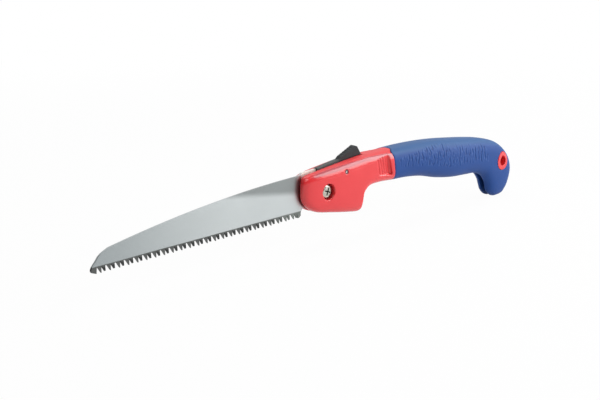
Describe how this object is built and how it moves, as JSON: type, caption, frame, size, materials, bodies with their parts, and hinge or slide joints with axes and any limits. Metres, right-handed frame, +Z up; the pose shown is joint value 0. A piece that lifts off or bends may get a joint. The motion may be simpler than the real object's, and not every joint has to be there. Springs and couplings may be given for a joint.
{
  "type": "folding saw",
  "caption": "Folding pruning saw: toothed steel blade turns on a screw pivot into a slotted, hooked grip and is held open or shut by a sprung rocker lock.",
  "frame": {"origin": "middle of the open saw's length and thickness, at the height of the lowest point of the hook", "axes": "+X along the tooth line from the tip towards the butt, +Y along the pivot screw away from its head, +Z up, away from the teeth"},
  "size_m": [0.4162, 0.0228, 0.0658],
  "materials": {
    "core_plastic": "moulded red plastic, satin gloss",
    "grip_rubber": "soft blue rubber with a bark-like grain on the sides",
    "blade_steel": "satin steel, hardened dark teeth",
    "fastener_steel": "bright plated steel",
    "washer_steel": "plated steel",
    "shim_nylon": "natural nylon",
    "lever_plastic": "dark grey moulded plastic",
    "pin_steel": "dark steel",
    "spring_steel": "spring wire"
  },
  "bodies": {
    "handle": {"handle_core": "core_plastic", "grip_sleeve": "grip_rubber", "pivot_screw": "fastener_steel", "pivot_barrel_nut": "fastener_steel", "pivot_washer": "washer_steel", "blade_shims": "shim_nylon", "lock_pin": "pin_steel", "lock_spring": "spring_steel"},
    "blade": {"saw_blade": "blade_steel"},
    "lever": {"lock_lever": "lever_plastic"}
  },
  "joints": [
    {"name": "blade_fold", "type": "hinge", "parent": "handle", "child": "blade", "pos_m": [-0.00735, 0, 0.04], "axis": [0, -1, 0], "range_deg": [0, 175]},
    {"name": "lever_rock", "type": "hinge", "parent": "handle", "child": "lever", "pos_m": [0.00995, 0, 0.0512], "axis": [0, 1, 0], "range_deg": [-5, 6], "stiffness_Nm_per_rad": 0.5, "springref_deg": -4.58, "deforming": ["lock_spring"]}
  ]
}
